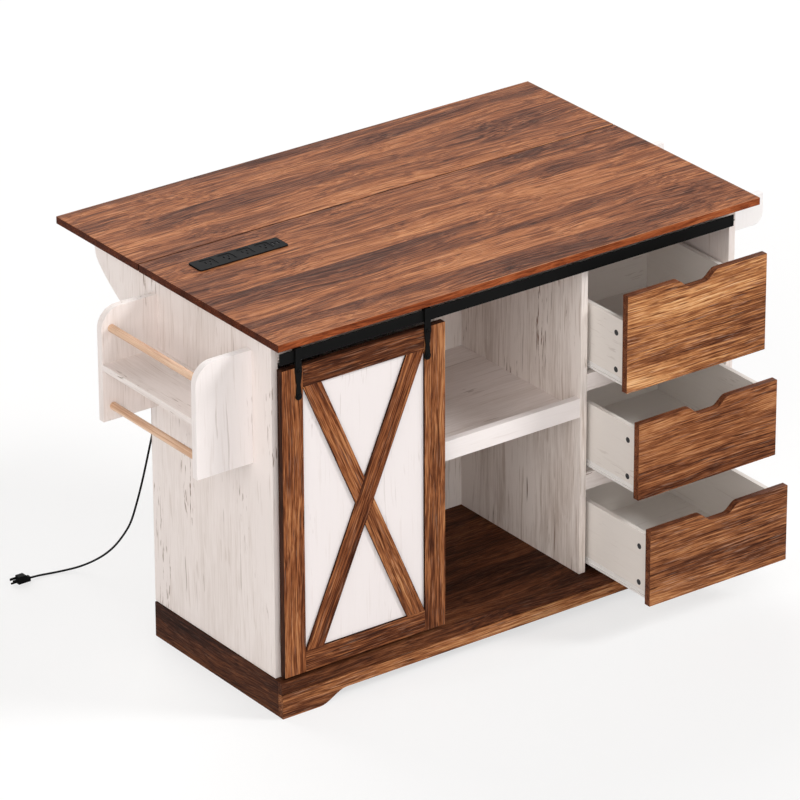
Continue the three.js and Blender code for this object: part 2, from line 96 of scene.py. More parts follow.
# ---- what the record says
behaviour = frame["record"]["behaviour"]
body_of_node = {node: body for body, nodes in behaviour["bodies"].items() for node in nodes}
slot_of_node = {row["node"]: row["material_slot"] for row in frame["record"]["subparts"]}


# ---- nodes
def put(tree, socket, value):
    """Sets a socket, or links it to the socket, or the list of sockets, that feeds it."""
    for feed in value if isinstance(value, list) else [value]:
        if isinstance(feed, bpy.types.NodeSocket):
            tree.links.new(feed, socket)
        else:
            socket.default_value = feed


def add_node(tree, kind, sockets=(), out=0, **fields):
    """Adds a node and gives one of its outputs, or the node itself where out is None."""
    node = tree.nodes.new(kind)
    for field, value in fields.items():
        setattr(node, field, value)
    for key, value in dict(sockets).items():
        put(tree, node.inputs[key], value)
    return node if out is None else node.outputs[out]


def looked_at(tree):
    """1 for what the camera, a reflection or clear stuff sees, 0 for what gives light."""
    rays = add_node(tree, "ShaderNodeLightPath", out=None).outputs
    seen = rays["Is Camera Ray"]
    for ray in ("Is Glossy Ray", "Is Transmission Ray"):
        seen = add_node(tree, "ShaderNodeMath", {0: seen, 1: rays[ray]}, operation="MAXIMUM")
    return seen


# ---- finishes
def tone(red, green, blue):
    """A display colour, 0 to 255, as the linear values that shaders take."""
    def linear(v):
        v /= 255
        return v / 12.92 if v <= 0.04045 else ((v + 0.055) / 1.055) ** 2.4
    return (linear(red), linear(green), linear(blue), 1.0)


def paler(colour, times, plus):
    return tuple(min(1.0, part * times + plus) for part in colour[:3]) + (1.0,)


class Finish:
    """A material built step by step; each step gives the socket that holds its result.

    A noise's scale is in waves to the metre, (along the board, across it)."""

    def __init__(self, name, **sockets):
        self.material = bpy.data.materials.new(name)
        self.material.use_nodes = True
        self.tree = self.material.node_tree
        self.surface = self.tree.nodes["Principled BSDF"]
        self.show(**sockets)

    def show(self, **sockets):
        """Sets the shader's own sockets, or links what feeds them."""
        for name, value in sockets.items():
            put(self.tree, self.surface.inputs[name.replace("_", " ")], value)

    def step(self, kind, sockets=(), out=0, **fields):
        return add_node(self.tree, "ShaderNode" + kind, sockets, out, **fields)

    def board(self):
        """Along, across and through the board, in metres, as its own attribute."""
        return self.step("Attribute", out="Vector", attribute_name="board")

    def times(self, first, second):
        return self.step("Math", {0: first, 1: second}, operation="MULTIPLY")

    def sum(self, *terms):
        """Each term is (socket, weight)."""
        total = 0.0
        for socket, weight in terms:
            total = self.step("Math", {0: socket, 1: weight, 2: total}, operation="MULTIPLY_ADD")
        return total

    def stretch(self, point, scale):
        along, across = scale
        return self.step("VectorMath", {0: point, 1: (along, across, across)}, operation="MULTIPLY")

    def noise(self, point, scale, detail=2.0, rough=0.5, seed=0.0, out="Fac"):
        sockets = {"Vector": self.stretch(point, scale), "Scale": 1.0, "Detail": detail,
                   "Roughness": rough, "W": seed}
        return self.step("TexNoise", sockets, out, noise_dimensions="4D")

    def sway(self, point, scale, reach, seed):
        """The point moved sideways by a slow wave, so that grain lines waver."""
        wave = self.noise(point, scale, seed=seed, out="Color")
        centred = self.step("VectorMath", {0: wave, 1: (0.5, 0.5, 0.5)}, operation="SUBTRACT")
        return self.step("VectorMath", {0: centred, 1: (0.0, reach, reach), 2: point},
                         operation="MULTIPLY_ADD")

    def band(self, value, low, high, start=0.0, end=1.0):
        return self.step("MapRange", {"Value": value, "From Min": low, "From Max": high,
                                      "To Min": start, "To Max": end})

    def specks(self, point, scale, detail, rough, seed, low, high):
        """Where a noise passes low, and in full where it passes high."""
        return self.band(self.noise(point, scale, detail, rough, seed), low, high)

    def ramp(self, value, places, colours):
        node = self.step("ValToRGB", {0: value}, None)
        stops = node.color_ramp.elements
        while len(stops) < len(places):
            stops.new(1.0)
        for stop, place in zip(stops, places):
            stop.position = place
        for stop, colour in zip(stops, colours):
            stop.color = colour
        return node.outputs[0]

    def mix(self, share, first, second, blend="MIX"):
        return self.step("Mix", {0: share, 6: first, 7: second}, 2, data_type="RGBA",
                         blend_type=blend)

    def stain(self, colour, where, strength, second):
        """The colour with a second one laid over it where a mask says."""
        return self.mix(self.times(where, strength), colour, second)

    def finished(self, height, depth, strength):
        """Puts the relief on and gives the material."""
        sockets = {"Height": height, "Distance": depth, "Strength": strength}
        self.show(Normal=self.step("Bump", sockets, "Normal"))
        return self.material


STAVE = 0.097  # width of the printed staves on the worktop
WALNUT_PLACES = (0.16, 0.33, 0.45, 0.55, 0.67, 0.84)  # of the six tones, dark to pale


def staved(f, point):
    """The point thrown along the grain by its stave's own number, and that number."""
    across = f.step("SeparateXYZ", {0: point}, "Y")
    stave = f.step("Math", {0: across, 1: STAVE}, operation="DIVIDE")
    number = f.step("Math", {0: stave}, operation="FLOOR")
    pick = f.step("TexWhiteNoise", {"W": number}, "Value", noise_dimensions="1D")
    jump = f.step("CombineXYZ", {"X": f.times(pick, 7.0), "Y": pick, "Z": pick})
    return f.step("VectorMath", {0: point, 1: jump}, operation="ADD"), pick


def walnut(name, tones, seed, weights, staves=False, pores=0.5, glints=0.0, rough=0.5,
           shine=0.05, waver=1.0, run=1.0):
    """Long walnut grain, with tones from the darkest streak to the palest wood and weights
    for wide bands, streaks, fine lines and fibres. pores is how far dark dashes show and glints
    how far pale dashes, painted highlights, show; waver is how far the grain strays, and a run
    below 1 draws it out."""
    f = Finish(name, Specular_IOR_Level=shine)
    p, pick = f.board(), None
    if staves:
        p, pick = staved(f, p)
    q = f.sway(p, (1.9, 6.0), 0.085 * waver, seed)
    q = f.sway(q, (9.0, 30.0), 0.011 * waver, seed + 1)
    wide = f.noise(q, (1.3, 10.0), 2.0, 0.5, seed + 2)
    streaks = f.noise(q, (3.0 * run, 46.0), 3.0, 0.6, seed + 3)
    lines = f.noise(q, (9.0 * run, 270.0), 3.0, 0.7, seed + 4)
    crisp = f.band(lines, 0.36, 0.64)
    fibres = f.noise(q, (30.0 * run, 420.0), 2.0, 0.65, seed + 5)
    terms = list(zip((wide, streaks, crisp, fibres), weights))
    if staves:
        terms.append((pick, 0.10))
    middle = sum(weight for _, weight in terms) / 2
    level = f.band(f.sum(*terms), middle - 0.5, middle + 0.5)
    colour = f.ramp(level, WALNUT_PLACES, [tone(*each) for each in tones])
    pore = f.specks(q, (24.0 * run, 330.0), 2.0, 0.6, seed + 6, 0.55, 0.65)
    dark = f.mix(1.0, colour, tone(118, 88, 76), "MULTIPLY")
    colour = f.stain(colour, pore, pores, dark)
    # Pale dashes screened over the grain: painted highlights on the pores.
    if glints:
        glint = f.specks(q, (20.0 * run, 300.0), 2.0, 0.65, seed + 7, 0.56, 0.67)
        pale = f.mix(1.0, colour, tone(138, 112, 96), "SCREEN")
        colour = f.stain(colour, glint, glints, pale)
    f.show(Base_Color=colour, Roughness=f.band(lines, 0.3, 0.7, rough + 0.08, rough - 0.06))
    height = f.sum((lines, 0.5), (fibres, 0.5), (pore, -0.6))
    return f.finished(height, 0.0004 if glints else 0.00016, 0.8)


def white_boards(name, base, grey, seed, marks, rough=0.55):
    """Whitewashed wood: pale ground, faint tan grain, a few knots and clusters of cracks.
    marks is how far these show."""
    f = Finish(name, Specular_IOR_Level=0.2)
    p = f.board()
    q = f.sway(p, (1.8, 5.0), 0.040, seed)
    q = f.sway(q, (12.0, 40.0), 0.008, seed + 9)
    clouds = f.noise(q, (1.6, 8.0), 3.0, 0.6, seed + 1)
    streaks = f.noise(q, (3.4, 60.0), 3.0, 0.6, seed + 2)
    lines = f.noise(q, (8.0, 210.0), 3.0, 0.7, seed + 3)
    fibres = f.noise(p, (30.0, 520.0), 2.0, 0.5, seed + 4)
    wash = f.band(f.sum((clouds, 0.46), (streaks, 0.20), (lines, 0.34)), 0.47, 0.66)
    colour = f.stain(tone(*base), wash, 0.55 * marks, tone(*grey))
    # Thin tan lines that come and go along the grain.
    hair = f.specks(q, (6.0, 150.0), 1.0, 0.5, seed + 10, 0.62, 0.70)
    colour = f.stain(colour, hair, 0.26 * marks, tone(176, 156, 140))
    # Short brown cracks in clusters, where a slower field lets them through.
    bent = f.sway(q, (40.0, 60.0), 0.006, seed + 11)
    thin = f.specks(bent, (17.0, 190.0), 1.0, 0.5, seed + 5, 0.61, 0.67)
    near = f.specks(p, (3.2, 11.0), 2.0, 0.5, seed + 6, 0.56, 0.65)
    crack = f.times(thin, near)
    colour = f.stain(colour, crack, 0.9 * min(marks, 1.1), tone(132, 106, 88))
    # A few long splits, wider apart.
    split = f.specks(q, (2.6, 150.0), 0.0, 0.4, seed + 8, 0.76, 0.80)
    colour = f.stain(colour, split, 0.5 * marks, tone(140, 118, 102))
    # Knots: small ovals of warm grey that fade outwards.
    cell = f.step("TexVoronoi", {"Vector": f.stretch(q, (5.0, 12.0)), "Scale": 1.0},
                  "Distance", feature="F1")
    allowed = f.specks(p, (2.1, 5.0), 0.0, 0.5, seed + 7, 0.57, 0.60)
    knot = f.times(f.band(cell, 0.04, 0.13, 1.0, 0.0), allowed)
    colour = f.stain(colour, knot, 0.55 * min(marks, 1.1), tone(160, 136, 116))
    f.show(Base_Color=colour, Roughness=f.band(lines, 0.3, 0.7, rough - 0.05, rough + 0.07))
    height = f.sum((lines, 0.5), (fibres, 0.4), (crack, -1.0), (split, -2.0), (knot, -0.5))
    return f.finished(height, 0.00022, 0.7)


def coated_steel(name, colour, rough, metallic=0.0, grit=900.0, shine=0.28):
    """Painted or plated steel with a fine even texture and a few duller patches."""
    f = Finish(name, Metallic=metallic, Specular_IOR_Level=shine)
    p = f.step("TexCoord", out="Object")
    patches = f.noise(p, (9.0, 9.0), 3.0, 0.5, 3.0)
    grain = f.noise(p, (grit, grit), 2.0, 0.5, 5.0)
    uneven = f.sum((patches, 0.16), (grain, 0.08))
    f.show(Base_Color=f.mix(f.band(patches, 0.3, 0.7, 0.0, 0.35), colour,
                            paler(colour, 1.45, 0.002)),
           Roughness=f.step("Math", {0: uneven, 1: rough - 0.12}, operation="ADD"))
    return f.finished(grain, 0.00006, 0.5)


def moulded_plastic(name, colour, rough, grit=1400.0, shine=0.08):
    """Moulded plastic with a fine spark-eroded texture."""
    f = Finish(name, Specular_IOR_Level=shine)
    p = f.step("TexCoord", out="Object")
    grain = f.noise(p, (grit, grit), 2.0, 0.6, 8.0)
    cloud = f.noise(p, (14.0, 14.0), 2.0, 0.5, 9.0)
    f.show(Base_Color=f.mix(f.band(cloud, 0.3, 0.7, 0.0, 0.4), colour,
                            paler(colour, 1.35, 0.001)),
           Roughness=f.band(f.sum((grain, 0.6), (cloud, 0.4)), 0.3, 0.7,
                            rough - 0.05, rough + 0.07))
    return f.finished(grain, 0.00005, 0.6)


def turned_beech(name, seed):
    """Pale beech with short darker flecks along the turned bar."""
    f = Finish(name, Specular_IOR_Level=0.4)
    p = f.board()
    q = f.sway(p, (3.0, 30.0), 0.004, seed)
    bands = f.noise(q, (3.0, 90.0), 3.0, 0.55, seed + 1)
    lines = f.noise(q, (8.0, 480.0), 2.0, 0.55, seed + 2)
    colour = f.ramp(f.sum((bands, 0.6), (lines, 0.4)), (0.38, 0.47, 0.54, 0.64),
                    (tone(186, 140, 108), tone(210, 168, 136), tone(226, 190, 160),
                     tone(238, 208, 182)))
    flecks = f.specks(p, (150.0, 1400.0), 1.0, 0.5, seed + 3, 0.66, 0.72)
    f.show(Base_Color=f.stain(colour, flecks, 0.5, tone(172, 126, 96)),
           Roughness=f.band(lines, 0.3, 0.7, 0.42, 0.55))
    return f.finished(f.sum((lines, 0.6), (flecks, -0.5)), 0.00012, 0.6)


FACING = {"rough": 0.52, "run": 0.7}  # what the boards of the front share
WALNUTS = {  # six tones, seed, the four weights and the rest
    "walnut_top": (
        ((52, 26, 16), (88, 48, 30), (118, 68, 42), (145, 87, 53), (172, 108, 67),
         (200, 138, 92)), 11.0, (1.10, 0.50, 0.38, 0.38),
        {"staves": True, "pores": 0.68, "glints": 0.30, "rough": 0.46, "shine": 0.03,
         "run": 0.45}),
    "walnut_band": (
        ((78, 34, 16), (108, 50, 26), (132, 65, 34), (150, 77, 42), (168, 94, 54),
         (190, 120, 78)), 17.0, (0.4, 0.6, 0.32, 0.4), {}),
    # Dark ends of the slabs: end grain, darkened further with painted shade.
    "walnut_end": (
        ((38, 16, 9), (54, 24, 14), (70, 32, 18), (84, 40, 22), (102, 50, 29),
         (130, 74, 47)), 19.0, (0.4, 0.6, 0.32, 0.4), {}),
    # Paler tones on the upper arris at the front: a painted highlight.
    "walnut_arris": (
        ((120, 72, 46), (144, 92, 62), (166, 110, 76), (184, 128, 92), (200, 146, 108),
         (216, 168, 132)), 29.0, (0.3, 0.6, 0.3, 0.4), {"pores": 0.2}),
    # Near black: painted shade on the side faces of the door's boards and in the seam between the
    # slabs.
    "walnut_edge": (
        ((20, 10, 7), (32, 16, 10), (44, 23, 14), (58, 31, 19), (76, 43, 27),
         (100, 60, 39)), 27.0, (0.3, 0.6, 0.3, 0.4), {"pores": 0.3}),
    # Dark brown: painted shade round the edges of the drawer fronts.
    "walnut_side": (
        ((50, 26, 17), (74, 41, 27), (96, 55, 36), (116, 68, 45), (138, 86, 58),
         (166, 112, 80)), 28.0, (0.3, 0.6, 0.3, 0.4), {"pores": 0.4, "glints": 0.2}),
    # Dark tones on the plinth's sides: darker than the plinth's front as painted shade.
    "walnut_dark": (
        ((26, 12, 8), (42, 21, 12), (58, 30, 18), (76, 42, 25), (98, 56, 33),
         (124, 78, 50)), 23.0, (0.9, 0.55, 0.30, 0.4), {"glints": 0.14}),
    "walnut_front": (
        ((42, 19, 11), (65, 33, 19), (90, 48, 28), (116, 65, 37), (145, 87, 52),
         (182, 124, 80)), 31.0, (0.8, 0.50, 0.42, 0.55),
        {"pores": 0.6, "glints": 0.36, "waver": 0.4, **FACING}),
    "walnut_middle": (
        ((49, 24, 14), (75, 40, 24), (102, 58, 35), (128, 76, 45), (157, 100, 62),
         (191, 137, 92)), 31.0, (0.8, 0.50, 0.42, 0.55),
        {"pores": 0.6, "glints": 0.45, "waver": 0.4, **FACING}),
    "walnut_drawer": (
        ((70, 37, 23), (104, 60, 37), (140, 87, 53), (173, 114, 70), (202, 145, 95),
         (226, 178, 128)), 37.0, (1.1, 0.42, 0.38, 0.60),
        {"pores": 0.7, "glints": 0.7, "waver": 0.3, **FACING}),
    "walnut_lower": (
        ((56, 29, 18), (84, 47, 29), (114, 68, 42), (140, 87, 53), (168, 112, 71),
         (200, 150, 104)), 39.0, (1.0, 0.42, 0.38, 0.60),
        {"pores": 0.7, "glints": 0.65, "waver": 0.3, **FACING}),
}
WHITES = {  # ground, wash, seed, marks and, where it differs, roughness
    "white_wood": ((240, 231, 227), (200, 186, 176), 41.0, 1.0),
    "white_lined": ((236, 227, 221), (180, 163, 151), 43.0, 1.8),
    "white_clean": ((242, 235, 233), (222, 213, 208), 49.0, 0.5),
    "white_panel": ((233, 226, 225), (219, 211, 208), 47.0, 0.35),
    "white_bright": ((242, 239, 238), (234, 230, 228), 48.0, 0.25),
    "back_board": ((168, 164, 160), (150, 144, 140), 59.0, 0.3, 0.62),
    "drawer_white": ((235, 229, 223), (214, 206, 198), 53.0, 0.25),
}
FITTINGS = {  # how it is made, colour, roughness and the rest
    "black_steel": (coated_steel, (12, 12, 12), 0.50, {"grit": 1100.0, "shine": 0.05}),
    "white_steel": (coated_steel, (232, 229, 226), 0.38, {}),
    "bright_steel": (coated_steel, (168, 168, 166), 0.32, {"metallic": 1.0}),
    "nylon": (moulded_plastic, (214, 210, 200), 0.40, {"shine": 0.28}),
    "black_plastic": (moulded_plastic, (17, 17, 18), 0.50, {"shine": 0.02}),
    "grey_plastic": (moulded_plastic, (62, 62, 64), 0.50, {}),
    "cord_jacket": (moulded_plastic, (14, 14, 15), 0.55, {"grit": 700.0}),
}
finishes = {"beech": turned_beech("beech", 61.0)}
for name, (tones, seed, weights, rest) in WALNUTS.items():
    finishes[name] = walnut(name, tones, seed, weights, **rest)
for name, values in WHITES.items():
    finishes[name] = white_boards(name, *values)
for name, (make, colour, rough, rest) in FITTINGS.items():
    finishes[name] = make(name, tone(*colour), rough, **rest)


# ---- building pieces
def settle(piece, body, stands_for=()):
    """Says what the piece rides on and what it stands for, which it hides."""
    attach(piece, body)
    if stands_for:
        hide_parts(*stands_for)
    return piece


def new_piece(name, mesh, *finish_names):
    mesh.name = name
    mesh.materials.clear()
    for finish in finish_names:
        mesh.materials.append(finishes[finish])
    return added(name, mesh)


def applied(piece):
    """The piece with its modifiers applied, under the same name."""
    graph = bpy.context.evaluated_depsgraph_get()
    mesh = bpy.data.meshes.new_from_object(
        piece.evaluated_get(graph), preserve_all_data_layers=True, depsgraph=graph)
    piece.modifiers.clear()
    old = piece.data
    piece.data = mesh
    mesh.name = old.name
    bpy.data.meshes.remove(old)
    return piece


def smooth(mesh, below):
    """Smooth shading, broken at edges that turn by more than `below` degrees."""
    mesh.polygons.foreach_set("use_smooth", [True] * len(mesh.polygons))
    mesh.set_sharp_from_angle(angle=radians(below))


def evened(piece):
    """The piece with its flat faces flat in the shading and its modifiers applied."""
    piece.modifiers.new("even shading", "WEIGHTED_NORMAL").keep_sharp = True
    return applied(piece)


def ease(piece, width, segments=2):
    """Rounds the sharp edges."""
    smooth(piece.data, 180)
    bevel = piece.modifiers.new("eased edges", "BEVEL")
    bevel.width, bevel.segments = width, segments
    bevel.limit_method, bevel.angle_limit = "ANGLE", radians(32)
    bevel.use_clamp_overlap = True
    bevel.miter_outer = "MITER_ARC"
    return evened(piece)


def mesh_of(name, points, faces=()):
    mesh = bpy.data.meshes.new(name)
    mesh.from_pydata(points, [], faces)
    return mesh


def outward_mesh(name, points, faces):
    """A mesh of closed shells, with its faces turned outwards."""
    mesh = mesh_of(name, points, faces)
    work = bmesh.new()
    work.from_mesh(mesh)
    bmesh.ops.recalc_face_normals(work, faces=work.faces)
    work.to_mesh(mesh)
    work.free()
    return mesh


def merged_copy(node):
    """A node's solid with its doubles merged and its flat faces whole."""
    mesh = frame["nodes"][node].data.copy()
    work = bmesh.new()
    work.from_mesh(mesh)
    bmesh.ops.remove_doubles(work, verts=work.verts, dist=0.02 * MM)
    bmesh.ops.dissolve_limit(work, angle_limit=radians(0.6), verts=work.verts, edges=work.edges)
    work.to_mesh(mesh)
    work.free()
    return mesh


def write_points(mesh, name, values):
    """A named attribute: one number or one vector for each of the mesh's points."""
    values = np.array(values, np.float32)
    kind, key = ("FLOAT_VECTOR", "vector") if values.ndim > 1 else ("FLOAT", "value")
    mesh.attributes.new(name, kind, "POINT").data.foreach_set(key, values.ravel())


AXES = {"X": Vector((1, 0, 0)), "Y": Vector((0, 1, 0)), "Z": Vector((0, 0, 1))}
LONGEST = 9  # metres, more than any board, so that the grain's own axis is never the thin one


def lay_grain(piece, along, seed):
    """Writes the board attribute: along the grain, across it and through the board."""
    along = AXES[along] if isinstance(along, str) else Vector(along).normalized()
    points = np.array([v.co for v in piece.data.vertices])
    thin = min(AXES.values(),
               key=lambda axis: np.ptp(points @ np.array(axis)) + LONGEST * abs(axis.dot(along)))
    across = thin.cross(along).normalized()
    through = along.cross(across).normalized()
    draw = random.Random(seed)
    shift = np.array([draw.uniform(0, 9) for _ in range(3)])
    write_points(piece.data, "board", points @ np.array([along, across, through]).T + shift)


def recoat(piece, coats):
    """Gives each face the finish that coats names for its normal."""
    places = {}
    for polygon in piece.data.polygons:
        name = coats(polygon.normal)
        if name and name not in places:
            places[name] = len(piece.data.materials)
            piece.data.materials.append(finishes[name])
        if name:
            polygon.material_index = places[name]


def dressed(node, width=0.8, along=None, finish=None, coats=None, segments=2):
    """A node's solid with eased edges, its grain laid and its finish on; width is in mm.
    coats says which finish a face of a given normal takes instead, if any."""
    piece = new_piece(node + "_eased", merged_copy(node), finish or slot_of_node[node])
    ease(piece, width * MM, segments)
    if along:
        lay_grain(piece, along, node)
    if coats:
        recoat(piece, coats)
    return settle(piece, body_of_node[node], [node])


def slab_coats(seam):
    """Edge band on a slab's long edge. Its ends are darker, end grain with painted shade; the
    faces in the seam between the two slabs, which seam faces as +1 or -1 along Y, are near
    black with painted shade; and the upper arris at the front is paler, a painted highlight."""
    def coats(normal):
        if abs(normal.z) < 0.35:
            if abs(normal.x) > abs(normal.y):
                return "walnut_end"
            return "walnut_edge" if normal.y * seam > 0 else "walnut_band"
        # A paler upper arris at the front: painted highlight.
        return "walnut_arris" if 0.35 <= normal.z < 0.98 and normal.y * seam < -0.1 else None
    return coats


def rim_coats(finish):
    """Another finish round the edges of a board that faces the front; both uses paint shade there.
    """
    return lambda normal: finish if abs(normal.y) < 0.6 else None


def back_coats(normal):
    """Whitewashed on the side that the shelves see."""
    return "white_lined" if normal.y < -0.6 else None


# ---- the cord
CORD_WIDTH = 0.005
CORD_ROUTE = (  # mm from CORNER, from the strain relief to the plug
    (128, 449, 829.4), (128, 449, 805), (128, 449.5, 783), (128, 454, 762), (128, 465, 745),
    (128, 488, 736), (126, 518, 732), (122, 545, 717), (117, 566, 688), (110, 582, 645),
    (104, 594, 600), (96, 612, 530), (88, 639.5, 420), (86.5, 656.5, 363), (84.5, 673.5, 306),
    (82, 693, 247), (79, 716, 187), (77, 734.5, 155), (71.5, 775, 101.5), (65.5, 809, 67),
    (60, 843, 39.5), (49, 873, 18), (32, 888.5, 8.5), (11.5, 899, 4.3), (-12, 906, 2.9),
    (-36, 911.5, 3.1), (-48.5, 913, 3.8), (-64, 913, 5.2), (-79.7, 913, 6),
)
CORD_STEPS = 10  # between two points of the route
CORD_SIDES = 14


def smooth_route(route):
    """A centripetal Catmull-Rom curve through the route's points."""
    p = [np.array(q, float) for q in route]
    p = [2 * p[0] - p[1]] + p + [2 * p[-1] - p[-2]]
    line = []
    for a, b, c, d in zip(p, p[1:], p[2:], p[3:]):
        s, t, u = (np.linalg.norm(j - i) ** 0.5 for i, j in ((a, b), (b, c), (c, d)))
        first = ((b - a) / s - (c - a) / (s + t) + (c - b) / t) * t
        last = ((c - b) / t - (d - b) / (t + u) + (d - c) / u) * t
        for k in range(CORD_STEPS):
            w = k / CORD_STEPS
            line.append(b + first * w + (3 * (c - b) - 2 * first - last) * w**2
                        + (2 * (b - c) + first + last) * w**3)
    return line + [p[-2]]


def ring_faces(rows, sides, closed=False):
    """Faces between rows of points, and over both ends unless the rows are closed."""
    faces = []
    for i in range(rows if closed else rows - 1):
        this, after = i * sides, (i + 1) % rows * sides
        for k in range(sides):
            n = (k + 1) % sides
            faces.append((this + k, this + n, after + n, after + k))
    if not closed:
        faces.append(tuple(reversed(range(sides))))
        faces.append(tuple(range((rows - 1) * sides, rows * sides)))
    return faces


def tube_mesh(name, line, radius, sides):
    """A closed tube round a line."""
    line = [Vector(q) for q in line]
    side = Vector((1, 0, 0))
    points = []
    for i, q in enumerate(line):
        ahead = (line[min(i + 1, len(line) - 1)] - line[max(i - 1, 0)]).normalized()
        side = (side - ahead * side.dot(ahead)).normalized()
        up = ahead.cross(side)
        for k in range(sides):
            turn = 2 * pi * k / sides
            points.append(q + (side * cos(turn) + up * sin(turn)) * radius)
    mesh = mesh_of(name, points, ring_faces(len(line), sides))
    smooth(mesh, 50)
    return mesh


cord_line = smooth_route([CORNER + Vector(v * MM for v in q) for q in CORD_ROUTE])
cord_length = float(sum(np.linalg.norm(b - a) for a, b in zip(cord_line, cord_line[1:])))
cord_mesh = tube_mesh("power_cord_jacket", cord_line, CORD_WIDTH / 2, CORD_SIDES)
cord = new_piece("power_cord_jacket", cord_mesh, "cord_jacket")
settle(cord, "cabinet", ["power_cord"])
plug = dressed("power_plug", 1.0, segments=3)
relief = dressed("cord_relief", 0.3)
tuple(cord_line[0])

# ---- boards
dressed("worktop", 1.2, "X", coats=slab_coats(1), segments=3)
dressed("drop_leaf", 1.2, "X", coats=slab_coats(-1), segments=3)
GRAIN = {
    "X": "plinth_front plinth_back floor_board front_stretcher shelf_left shelf_right "
         "shelf_right_lip drawer_rail_lower drawer_rail_upper door_top_rail door_bottom_rail "
         "drawer1_front drawer2_front drawer3_front",
    "Y": "plinth_left plinth_right spice_rack_shelf spice_rack_guard_rail "
         "spice_rack_towel_bar towel_rack_bar",
    "Z": "side_panel_left side_panel_right middle_divider drawer_divider back_panel "
         "leaf_support_left leaf_support_right spice_rack_front_panel spice_rack_rear_panel "
         "towel_rack_front_panel towel_rack_rear_panel door_stile_left door_stile_right "
         "door_panel",
}
FINISH_OF = {  # where it isn't the slot's own
    "white_lined": "middle_divider drawer_divider",
    "white_clean": "shelf_left shelf_right_lip spice_rack_front_panel",
    "white_bright": "towel_rack_front_panel towel_rack_rear_panel",
    "walnut_drawer": "drawer1_front",
    "walnut_lower": "drawer3_front plinth_front",
    "walnut_middle": "drawer2_front door_top_rail door_bottom_rail door_stile_right",
}
finish_of = {node: finish for finish, nodes in FINISH_OF.items() for node in nodes.split()}
# Edges of the front boards in painted shade: near black on the door's boards, dark brown round the
# drawer fronts.
shade_rim, drawer_shade_rim = rim_coats("walnut_edge"), rim_coats("walnut_side")
COATS = {"back_panel": back_coats, "plinth_front": None, "drawer1_front": drawer_shade_rim,
         "drawer2_front": drawer_shade_rim, "drawer3_front": drawer_shade_rim}
for along, nodes in GRAIN.items():
    for node in nodes.split():
        rim = shade_rim if slot_of_node[node] == "walnut_front" else None
        dressed(node, 0.8, along, finish_of.get(node), COATS.get(node, rim))

BRACE_RUN = 0.050  # along the rail that a brace meets
brace_low, brace_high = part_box("door_brace_rising")
brace_wide, brace_tall = brace_high.x - brace_low.x - BRACE_RUN, brace_high.z - brace_low.z
for brace, way, finish in (("rising", 1, None), ("falling_upper", -1, None),
                           ("falling_lower", -1, "walnut_middle")):
    dressed("door_brace_" + brace, 0.8, (way * brace_wide, 0, brace_tall), finish, shade_rim)

for node in ("door_rail", "roller_track", "door_hanger_left", "door_hanger_right",
             "leaf_hinge_left", "leaf_hinge_right"):
    dressed(node, 0.5)


# ---- small shapes
class Shells:
    """Closed shells gathered into one mesh, each with its own grain direction."""

    def __init__(self):
        self.points, self.faces, self.boards = [], [], []

    def add(self, points, faces, along="X"):
        first, axis = len(self.points), "XYZ".index(along)
        draw = random.Random(first + axis)
        shift = [draw.uniform(0, 9) for _ in range(3)]
        for p in points:
            self.boards.append([p[(axis + k) % 3] + shift[k] for k in range(3)])
            self.points.append(tuple(p))
        self.faces += [tuple(first + i for i in face) for face in faces]
        return self

    def block(self, low, high, width, along="X"):
        """A box between two corners with its edges eased by a width; all in metres."""
        work = bmesh.new()
        bmesh.ops.create_cube(work, size=1.0)
        low, high = Vector(low), Vector(high)
        for v in work.verts:
            v.co = Vector(a + (t + 0.5) * (b - a) for a, b, t in zip(low, high, v.co))
        bmesh.ops.bevel(work, geom=work.edges[:], offset=width, segments=2, profile=0.5,
                        affect="EDGES", clamp_overlap=True)
        work.verts.index_update()
        self.add([v.co.copy() for v in work.verts],
                 [[v.index for v in face.verts] for face in work.faces], along)
        work.free()
        return self

    def turned(self, profile, centre, axis, sides=24, closed=False):
        """A profile of (radius, height) pairs turned round an axis through the centre.
        It ends in two flat faces, or it is closed on itself, as a ring is."""
        axis = Vector(axis).normalized()
        side = axis.orthogonal().normalized()
        up = axis.cross(side)
        centre = Vector(centre)
        points = [centre + axis * h + (side * cos(a) + up * sin(a)) * r
                  for r, h in profile
                  for a in (2 * pi * k / sides for k in range(sides))]
        return self.add(points, ring_faces(len(profile), sides, closed))

    def extruded(self, outline, along, start, end):
        """A flat outline in the two axes after `along`, drawn out along it."""
        axis = "XYZ".index(along)
        points = []
        for place in (start, end):
            for u, v in outline:
                p = [0.0, 0.0, 0.0]
                p[axis], p[(axis + 1) % 3], p[(axis + 2) % 3] = place, u, v
                points.append(p)
        n = len(outline)
        faces = [tuple(reversed(range(n))), tuple(range(n, 2 * n))]
        faces += [(k, (k + 1) % n, n + (k + 1) % n, n + k) for k in range(n)]
        return self.add(points, faces, along)

    def piece(self, name, body, slot, stands_for=()):
        mesh = outward_mesh(name, self.points, self.faces)
        smooth(mesh, 35)
        write_points(mesh, "board", self.boards)
        return settle(evened(new_piece(name, mesh, slot)), body, stands_for)


